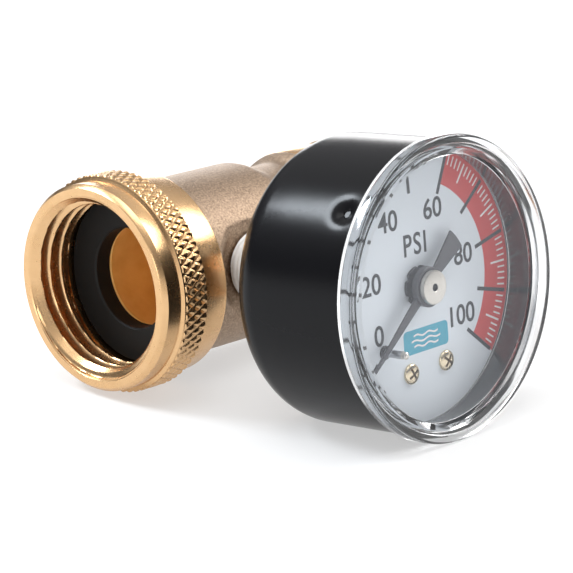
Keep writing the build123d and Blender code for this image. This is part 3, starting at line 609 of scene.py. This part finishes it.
def make_case():
    fillet = 5.4
    outline = [(CASE_BACK, 4.9)]
    outline += [(CASE_BACK, 10.0), (CASE_BACK, CASE_R - fillet - 0.5)]
    outline += arc_points((CASE_BACK + fillet, CASE_R - fillet), fillet, 180, 90, 16)
    outline += [(CASE_BACK + fillet + 4, CASE_R), (CASE_BACK + fillet + 8, CASE_R)]
    outline += densify([(DIMPLE_DEPTH - 3.5, CASE_R), (CASE_FRONT - 0.25, CASE_R)], 0.22, False)
    outline += arc_points((CASE_FRONT - 0.25, CASE_R - 0.25), 0.25, 90, 0, 3)
    outline += [(CASE_FRONT, CASE_R - CASE_WALL)]
    inner = CASE_R - CASE_WALL
    outline += [(CASE_BACK + fillet, inner)]
    outline += arc_points((CASE_BACK + fillet, CASE_R - fillet), fillet - CASE_WALL, 90, 180, 12)
    outline += [(CASE_BACK + CASE_WALL, 4.9)]
    case = lathe("case_shell", outline, 600, on_gauge, case_shape, smooth_angle=50)
    finish_piece(case, "case", "housing", "black_case", "gauge_case")


make_case()

TAPE_START = 11.7
TAPE_END = 19.6
TAPE_R = 5.45


def tape_shape(depth, radius, angle):
    """Overlapping turns of tape pressed into the thread."""
    if radius < TAPE_R - 0.4:
        return depth, radius
    turn = (depth / 0.94 - angle / (2 * pi)) % 1.0
    lap = (depth / 3.1 - angle / (2 * pi)) % 1.0
    wrinkle = 0.02 * sin(17 * angle + 5 * depth) * sin(3 * angle)
    ridge = 0.16 * abs(turn - 0.5) * 2
    return depth, radius - ridge - (0.08 if lap < 0.5 else 0.0) + wrinkle


def make_tape():
    outline = [(TAPE_START, 4.85), (TAPE_START, TAPE_R - 0.15)]
    outline += densify([(TAPE_START + 0.15, TAPE_R), (TAPE_END - 0.15, TAPE_R)], 0.12, False)
    outline += [(TAPE_END, TAPE_R - 0.15), (TAPE_END, 4.85)]
    tape = lathe("wound_tape", outline, 144, on_gauge, tape_shape)
    finish_piece(tape, "tape", "housing", "white_tape", "thread_tape")


make_tape()

WINDOW_R = 18.9
SKIRT_R = 20.1
SKIRT_START = 44.3


def make_lens():
    back = 48.6
    outline = [(back, 0.001), (back, 6.0), (back, 12.0), (back, WINDOW_R)]
    outline += [(back - 0.1, 19.05), (back - 0.9, 19.12), (back - 1.0, 19.24), (back - 1.9, 19.3),
                (back - 2.0, 19.42), (back - 2.9, 19.46), (back - 3.0, 19.56), (SKIRT_START, 19.6),
                (SKIRT_START, 19.9),
                (SKIRT_START + 0.2, SKIRT_R), (CASE_FRONT - 0.2, SKIRT_R), (CASE_FRONT + 0.02, 20.3)]
    outline += [(CASE_FRONT + 0.02, LENS_R - 0.35)]
    outline += arc_points((CASE_FRONT + 0.32, LENS_R - 0.3), 0.3, 180, 90, 4)
    outline += arc_points((LENS_FRONT - 0.55, LENS_R - 0.55), 0.55, 90, 0, 6)
    outline += [(LENS_FRONT, 20.55), (LENS_FRONT - 0.35, 20.4), (LENS_FRONT - 0.35, 19.9),
                (LENS_FRONT - 0.1, 19.75), (LENS_FRONT - 0.1, 19.2), (LENS_FRONT - 0.3, WINDOW_R)]
    outline += [(LENS_FRONT - 0.3, 12.0), (LENS_FRONT - 0.3, 6.0), (LENS_FRONT - 0.3, 0.001)]
    lens = lathe("lens_shell", outline, 256, on_gauge, closed=False)
    mesh = lens.data
    mesh.materials.append(MAT["rim"])
    mesh.materials.append(MAT["window"])
    for face in mesh.polygons:
        c = face.center / MM
        if hypot(c.x - GAUGE_X, c.z) < WINDOW_R - 0.01 and abs(face.normal.y) > 0.9:
            face.material_index = 1
    finish_piece(lens, None, "housing", "clear_lens", "lens")


make_lens()


# --- dial print -------------------------------------------------------------------------------

SCALE_MIDDLE = -2.6
SCALE_HALF = 132.6
PRINT = 0.012
TICK_OUTER = 19.28


def scale_angle(psi):
    """Clock angle of a reading."""
    return SCALE_MIDDLE + SCALE_HALF * (psi - 50) / 50


def tick_outline(psi, inner, outer, width):
    """Corners of one tick."""
    a = scale_angle(psi)
    su, cu = sin(radians(a)), cos(radians(a))
    h = width / 2
    return [(r * su + s * cu, r * cu - s * su) for r, s in ((inner, -h), (outer, -h), (outer, h), (inner, h))]


def ring_band(name, inner, outer, start, end, count, back, front):
    """Thin printed ring sector."""
    points = []
    for k in range(count + 1):
        a = radians(start + (end - start) * k / count)
        for radius, depth in ((inner, back), (outer, back), (outer, front), (inner, front)):
            points.append(on_gauge(depth, radius, a))
    faces = [(0, 1, 2, 3), tuple(4 * count + k for k in (3, 2, 1, 0))]
    for i in range(count):
        for k in range(4):
            n = (k + 1) % 4
            faces.append((4 * i + k, 4 * i + n, 4 * i + 4 + n, 4 * i + 4 + k))
    return new_object(name, points, faces)


def make_scale():
    band = ring_band("print_red_band", 14.8, 20.0, scale_angle(60), scale_angle(100), 64,
                     DIAL_FRONT, DIAL_FRONT + PRINT)
    finish_piece(band, "red", "housing", "dial_white")
    black, white = [], []
    for psi in range(0, 101):
        major, five = psi % 10 == 0, psi % 5 == 0
        in_red = 60 < psi < 100
        name = f"tick_{psi}"
        if major:
            corners = tick_outline(psi, 13.3, TICK_OUTER + 0.2, 0.56)
            black.append(plate(name, corners, DIAL_FRONT, DIAL_FRONT + 3 * PRINT))
        elif in_red:
            inner = 16.2 if five else 17.75
            corners = tick_outline(psi, inner, TICK_OUTER, 0.3 if five else 0.24)
            white.append(plate(name, corners, DIAL_FRONT, DIAL_FRONT + 2 * PRINT))
        elif five:
            corners = tick_outline(psi, 17.2, TICK_OUTER, 0.46)
            black.append(plate(name, corners, DIAL_FRONT, DIAL_FRONT + 3 * PRINT))
    finish_piece(join("print_black_ticks", black), "ink", "housing", "dial_white")
    finish_piece(join("print_white_ticks", white), "white_ink", "housing", "dial_white")


def lettering(text, centre, height, wide, spacing=1.0):
    """Printed text centred at a place of the dial, its capital height in millimetres."""
    curve = bpy.data.curves.new("text_" + text, "FONT")
    curve.body = text
    curve.size = 1.0
    curve.extrude = 0.01
    curve.offset = 0.012
    curve.space_character = spacing
    curve.resolution_u = 6
    obj = bpy.data.objects.new("text_" + text, curve)
    scene.collection.objects.link(obj)
    bpy.context.view_layer.update()
    graph = bpy.context.evaluated_depsgraph_get()
    mesh = bpy.data.meshes.new_from_object(obj.evaluated_get(graph))
    bpy.data.objects.remove(obj)
    xs = [v.co.x for v in mesh.vertices]
    ys = [v.co.y for v in mesh.vertices]
    zs = [v.co.z for v in mesh.vertices]
    middle_x, middle_y = (min(xs) + max(xs)) / 2, (min(ys) + max(ys)) / 2
    grow = height / (max(ys) - min(ys))
    thick = 3 * PRINT / (max(zs) - min(zs))
    for v in mesh.vertices:
        u = (v.co.x - middle_x) * grow * wide
        w = (v.co.y - middle_y) * grow
        depth = DIAL_FRONT + (v.co.z - min(zs)) * thick
        v.co = Vector(on_dial(centre[0] + u, centre[1] + w, depth)) * MM
    made = bpy.data.objects.new("number_" + text, mesh)
    scene.collection.objects.link(made)
    return made


def make_lettering():
    places = {"0": (-8.7, -5.5), "20": (-9.6, 1.9), "40": (-5.4, 10.1), "60": (4.2, 10.4), "80": (10.2, 2.6),
              "100": (9.3, -6.1)}
    letters = [lettering(text, place, 3.0, 1.0) for text, place in places.items()]
    letters.append(lettering("PSI", (0.0, 6.0), 3.2, 0.86, 1.15))
    finish_piece(join("print_lettering", letters), "ink", "housing", "dial_white")


def rounded_bar(centre, width, height, corner):
    """Outline of a bar with round corners."""
    points = []
    for sx, sy, start in ((1, 1, 0), (-1, 1, 90), (-1, -1, 180), (1, -1, 270)):
        cx, cy = sx * (width / 2 - corner), sy * (height / 2 - corner)
        points += arc_points((centre[0] + cx, centre[1] + cy), corner, start, start + 90, 8)
    return points


def wave_outline(centre, length, rise, width):
    """Outline of one wavy line."""
    steps = [k / 24 for k in range(25)]
    line = [((s - 0.5) * length, rise * sin(2 * pi * 2 * s)) for s in steps]
    loop = [(x, y + width / 2) for x, y in line] + [(x, y - width / 2) for x, y in reversed(line)]
    return [(centre[0] + x, centre[1] + y) for x, y in loop]


def make_mark():
    """A plain rounded bar with three wavy lines, standing for water."""
    centre = (1.1, -7.9)
    bar = plate("print_mark_bar", rounded_bar(centre, 9.6, 3.5, 0.7), DIAL_FRONT, DIAL_FRONT + PRINT)
    finish_piece(bar, "teal", "housing", "dial_white")
    waves = []
    for k, length in ((-1, 5.2), (0, 6.2), (1, 5.2)):
        outline = wave_outline((centre[0], centre[1] + 0.78 * k), length, 0.16, 0.26)
        waves.append(plate(f"wave_{k + 1}", outline, DIAL_FRONT, DIAL_FRONT + 2 * PRINT))
    finish_piece(join("print_mark_waves", waves), "white_ink", "housing", "dial_white")


make_scale()
make_lettering()
make_mark()


# --- pointer, hub and dial screws -------------------------------------------------------------

POINTER_CLOCK = -129.5
POINTER_BACK = 45.3
POINTER_FRONT = 45.6
TAIL_HALF_ANGLE = 11


def make_pointer():
    tip, tail = 15.7, 9.0
    outline = [(-0.85, 0.0), (-0.22, tip - 0.2), (0.0, tip), (0.22, tip - 0.2), (0.85, 0.0), (0.85, -3.0)]
    outline += [clock(tail, 180 + TAIL_HALF_ANGLE * (k / 4 - 1)) for k in range(9)] + [(-0.85, -3.0)]
    turn = radians(POINTER_CLOCK)
    placed = [(u * cos(turn) + w * sin(turn), -u * sin(turn) + w * cos(turn)) for u, w in outline]
    needle = plate("needle", placed, POINTER_BACK, POINTER_FRONT)
    boss = lathe("boss", densify([(45.1, 0.6), (45.1, 2.75), (45.2, 2.9), (46.05, 2.9), (46.2, 2.75),
                                  (46.2, 0.6)], 1.0), 96, on_gauge)
    pointer = join("pointer_needle", [needle, boss])
    finish_piece(pointer, "pointer", "pointer", "pointer_black", "pointer")
    outline = [(46.22, 0.001), (46.22, 2.35), (46.35, 2.45), (46.85, 2.45), (46.98, 2.4), (47.05, 2.25),
               (47.05, 0.62), (47.0, 0.55), (46.6, 0.52), (46.6, 0.001)]
    cap = lathe("hub_cap", outline, 96, on_gauge, closed=False)
    cap.data.materials.append(MAT["nickel"])
    cap.data.materials.append(MAT["dark"])
    # The small hole in the cap's centre takes the near-black material: painted shade in the hole.
    for face in cap.data.polygons:
        c = face.center / MM
        face.material_index = int(hypot(c.x - GAUGE_X, c.z) < 0.56 and -c.y > 46.5)
    finish_piece(cap, None, "pointer", "nickel_cap", "pointer_cap")


def bushing_shape(depth, radius, angle):
    """Six notches in the bushing's rim."""
    if radius > 2.6:
        notch = max(0.0, cos(6 * angle) - 0.6) / 0.4
        return depth, radius - 0.45 * notch
    return depth, radius


def make_bushing():
    low, high = node_box("dial_bushing")
    top_r = (high[0] - low[0]) / 2
    outline = [(DIAL_FRONT + 0.01, 0.56), (DIAL_FRONT + 0.01, top_r - 0.1), (DIAL_FRONT + 0.15, top_r),
               (DIAL_FRONT + 0.5, top_r), (DIAL_FRONT + 0.6, top_r - 0.15), (DIAL_FRONT + 0.6, 0.56)]
    bushing = lathe("notched_bushing", outline, 144, on_gauge, bushing_shape)
    finish_piece(bushing, "dark", "housing", "dark_bushing", "dial_bushing")


def screw_head(name, centre, turn):
    """Domed screw head with a cross recess."""
    head_r, rise = 1.5, 0.68

    def on_screw(depth, radius, angle):
        return on_dial(centre[0] + radius * sin(angle), centre[1] + radius * cos(angle), DIAL_FRONT + depth)

    dome = [(rise - 0.3 * (k / 8) ** 2.5, 0.001 + (head_r - 0.12) * k / 8) for k in range(9)]
    outline = dome + [(rise - 0.42, head_r - 0.02), (rise - 0.5, head_r), (0.02, head_r), (0.02, 0.001)]
    head = lathe(name, outline, 64, on_screw, closed=False, smooth_angle=30)
    for side in (0, 1):
        half = [(1.0, 0.2), (-1.0, 0.2), (-1.0, -0.2), (1.0, -0.2)]
        t = turn + side * pi / 2
        turned = [(x * cos(t) - y * sin(t), x * sin(t) + y * cos(t)) for x, y in half]
        corners = [(centre[0] + x, centre[1] + y) for x, y in turned]
        cut(head, plate("recess_cutter", corners, DIAL_FRONT + rise - 0.42, DIAL_FRONT + rise + 0.5))
    return head


def make_stop_pin():
    """Steel stop pin with a dark collar at the dial and a turned tip."""
    low, high = node_box("stop_pin")
    centre_u, centre_w = (low[0] + high[0]) / 2 - GAUGE_X, (low[2] + high[2]) / 2
    top = -low[1]

    def on_pin(depth, radius, angle):
        return on_dial(centre_u + radius * sin(angle), centre_w + radius * cos(angle), depth)

    outline = [(DIAL_FRONT + 0.01, 0.001), (DIAL_FRONT + 0.01, 1.0), (DIAL_FRONT + 0.25, 1.0),
               (DIAL_FRONT + 0.35, 0.9), (DIAL_FRONT + 0.35, 0.58), (top - 0.8, 0.58), (top - 0.78, 0.52),
               (top - 0.2, 0.52), (top, 0.3), (top, 0.001)]
    pin = lathe("stop_pin_turned", outline, 48, on_pin, closed=False)
    for look in ("dark", "steel", "nickel"):
        pin.data.materials.append(MAT[look])
    for face in pin.data.polygons:
        depth = -face.center.y / MM
        face.material_index = 0 if depth < DIAL_FRONT + 0.4 else 1 if depth < top - 0.79 else 2
    finish_piece(pin, None, "housing", "machined_brass", "stop_pin")


def make_dial_screws():
    places = ((-2.6, -12.3), (5.0, -12.0))
    heads = [screw_head(f"head_{k}", place, 0.5 + 0.4 * k) for k, place in enumerate(places)]
    screws = join("dial_screw_heads", heads)
    screws.data.materials.clear()
    screws.data.materials.append(MAT["screw"])
    screws.data.materials.append(MAT["recess"])
    # Faces inside the cross recesses take the dark material as painted shade.
    for face in screws.data.polygons:
        c = face.center / MM
        from_centre = min(hypot(c.x - GAUGE_X - u, c.z - w) for u, w in places)
        face.material_index = int(from_centre < 1.08 and -c.y < DIAL_FRONT + 0.52)
    finish_piece(screws, None, "housing", "machined_brass", "dial_screws")


make_pointer()
make_bushing()
make_dial_screws()
make_stop_pin()


# --- floor, lights, camera --------------------------------------------------------------------

def make_floor():
    """Pale floor that the nut and the lens rest on, glowing faintly and a little more far away."""
    tilt = radians(6.0)
    mesh = bpy.data.meshes.new("floor")
    size = 3.0
    corners = [(-size, -size, 0), (size, -size, 0), (size, size, 0), (-size, size, 0)]
    mesh.from_pydata(corners, [], [(0, 1, 2, 3)])
    floor = bpy.data.objects.new("floor", mesh)
    floor.rotation_euler = (tilt, 0.0, 0.0)
    floor.location = (0.0, 0.0, -NUT_KNURL_R * MM / cos(tilt) - 0.00005)
    scene.collection.objects.link(floor)
    mat, tree, shader = material("floor_paper", (0.42, 0.42, 0.42), roughness=0.7, Emission_Strength=1.0)
    source = tree.nodes.new("ShaderNodeTexCoord")
    distance = tree.nodes.new("ShaderNodeVectorMath")
    distance.operation = "LENGTH"
    link(tree, source.outputs["Object"], distance.inputs[0])
    glow = ramp(tree, distance.outputs["Value"], [(0.25, (0.50, 0.50, 0.50)), (0.9, (0.66, 0.66, 0.66))])
    link(tree, glow, shader.inputs["Emission Color"])
    mesh.materials.append(mat)


def area_light(name, place, aim, size, power, colour=(1.0, 1.0, 1.0)):
    """Soft box at a place, turned to an aim point, all in metres."""
    data = bpy.data.lights.new(name, "AREA")
    data.shape = "RECTANGLE"
    data.size, data.size_y = size
    data.energy = power
    data.color = colour
    light = bpy.data.objects.new(name, data)
    light.location = place
    light.rotation_euler = (Vector(aim) - Vector(place)).to_track_quat("-Z", "Y").to_euler()
    scene.collection.objects.link(light)


def make_world():
    """White overhead and at the horizon with a dark band between, as in a studio with a big diffuser."""
    world = bpy.data.worlds.new("studio")
    scene.world = world
    world.use_nodes = True
    tree = world.node_tree
    source = tree.nodes.new("ShaderNodeTexCoord")
    split = tree.nodes.new("ShaderNodeSeparateXYZ")
    link(tree, source.outputs["Generated"], split.inputs[0])
    sky = ramp(tree, split.outputs["Z"], [(0.0, (0.90, 0.90, 0.90)), (0.10, (0.85, 0.85, 0.85)),
                                          (0.16, (0.06, 0.06, 0.065)), (0.30, (0.08, 0.08, 0.085)),
                                          (0.48, (0.42, 0.42, 0.43)), (0.8, (0.85, 0.85, 0.85))])
    background = tree.nodes["Background"]
    link(tree, sky, background.inputs["Color"])
    background.inputs["Strength"].default_value = 1.0


def make_lights():
    centre = (0.02, -0.02, 0.0)
    area_light("back_left_box", (-0.22, 0.33, 0.46), centre, (0.22, 0.14), 3.0, (0.86, 0.93, 1.0))
    area_light("right_box", (0.44, -0.26, 0.36), centre, (0.26, 0.26), 1.8)
    area_light("low_back_box", (0.62, 0.55, 0.2), centre, (0.3, 0.2), 0.9)
    area_light("front_box", (-0.62, -0.3, 0.14), centre, (0.22, 0.22), 0.6)
    area_light("top_box", (-0.1, -0.15, 0.8), centre, (0.6, 0.6), 3.0)


def make_camera():
    data = bpy.data.cameras.new("camera")
    data.lens = 169.82
    data.sensor_width = 36.0
    data.shift_x = 0.00858
    data.shift_y = 0.02675
    data.clip_start = 0.01
    camera = bpy.data.objects.new("camera", data)
    camera.location = (-0.25774, -0.29157, 0.08036)
    camera.rotation_euler = Euler([radians(a) for a in (77.6635, 4.2914, -46.3302)])
    scene.collection.objects.link(camera)
    scene.camera = camera


make_floor()
make_world()
make_lights()
make_camera()
scene.view_settings.view_transform = "Standard"
